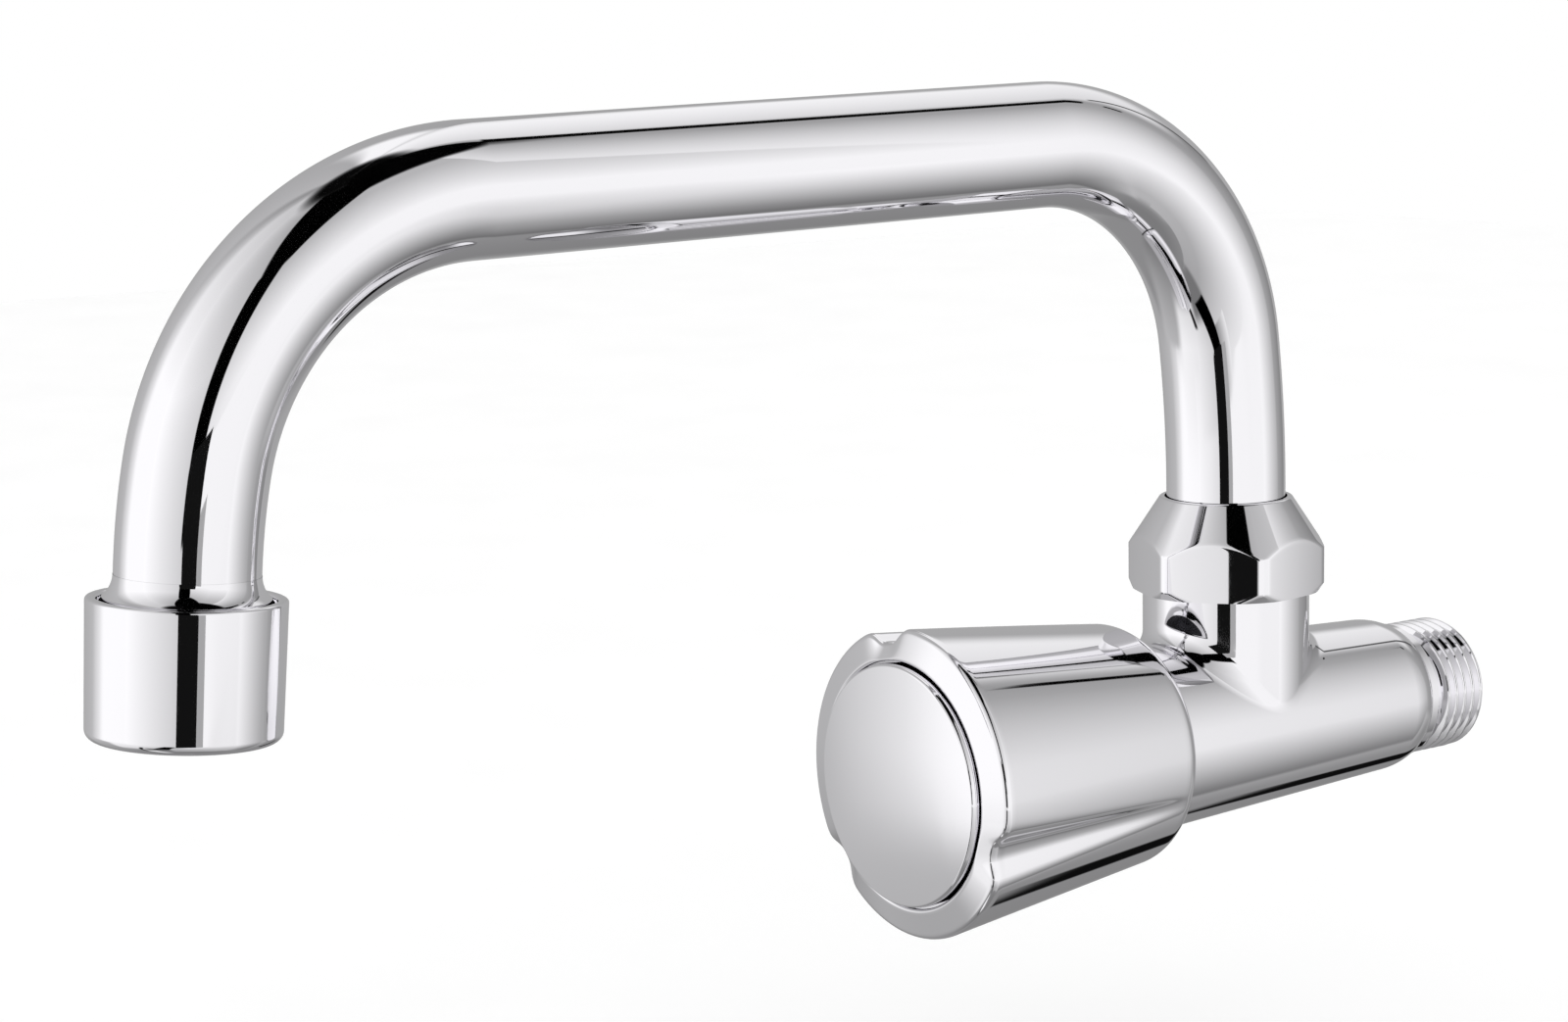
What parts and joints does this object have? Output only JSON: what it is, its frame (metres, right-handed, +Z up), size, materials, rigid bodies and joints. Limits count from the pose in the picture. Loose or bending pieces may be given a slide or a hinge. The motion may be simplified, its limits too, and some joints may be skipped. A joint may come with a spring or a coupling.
{
  "type": "wall-mounted bib tap",
  "caption": "Chrome wall-mounted bib tap: tapered valve body with a threaded inlet, fluted round knob, hexagon nut and bent tube swivel spout with an aerator.",
  "frame": {"origin": "on the body axis, at the flat face of the collar that the inlet thread starts from", "axes": "+Y along the body axis out of the inlet, into the wall; -Y towards the knob and the user; +Z up along the spout's swivel axis; +X to the right seen from the front"},
  "size_m": [0.0452, 0.232, 0.1217],
  "materials": {
    "chrome_plate": "bright chrome plate on brass",
    "knob_chrome": "bright chrome plate on cast zinc",
    "brass": "machined",
    "steel": "stainless",
    "ceramic": "lapped alumina ceramic",
    "rubber": "moulded nitrile",
    "fibre": "pressed fibre",
    "white_plastic": "moulded acetal"
  },
  "bodies": {
    "body": {"valve_body": "chrome_plate", "cartridge_housing": "brass", "head_gasket": "fibre", "cartridge_seal": "rubber", "fixed_disc": "ceramic", "spout_nut": "chrome_plate", "slip_washer": "white_plastic", "keeper_ring": "white_plastic"},
    "knob": {"spindle": "brass", "moving_disc": "ceramic", "thrust_washer": "white_plastic", "stem_o_rings": "rubber", "stop_ring": "brass", "spindle_clip": "steel", "knob_insert": "brass", "knob_shell": "knob_chrome", "knob_screw": "steel", "index_cap": "knob_chrome"},
    "spout": {"spout_ferrule": "brass", "ferrule_o_rings": "rubber", "spout_tube": "chrome_plate", "outlet_sleeve": "chrome_plate", "aerator_housing": "chrome_plate", "outlet_washer": "rubber", "aerator_shell": "white_plastic", "aerator_diffuser": "white_plastic", "aerator_screens": "steel", "aerator_grille": "white_plastic"}
  },
  "joints": [
    {"name": "knob_turn", "type": "hinge", "parent": "body", "child": "knob", "pos_m": [0, 0, 0], "axis": [0, -1, 0], "range_deg": [0, 90]},
    {"name": "spout_swivel", "type": "hinge", "parent": "body", "child": "spout", "pos_m": [0, -0.0356, 0], "axis": [0, 0, 1], "continuous": true}
  ]
}
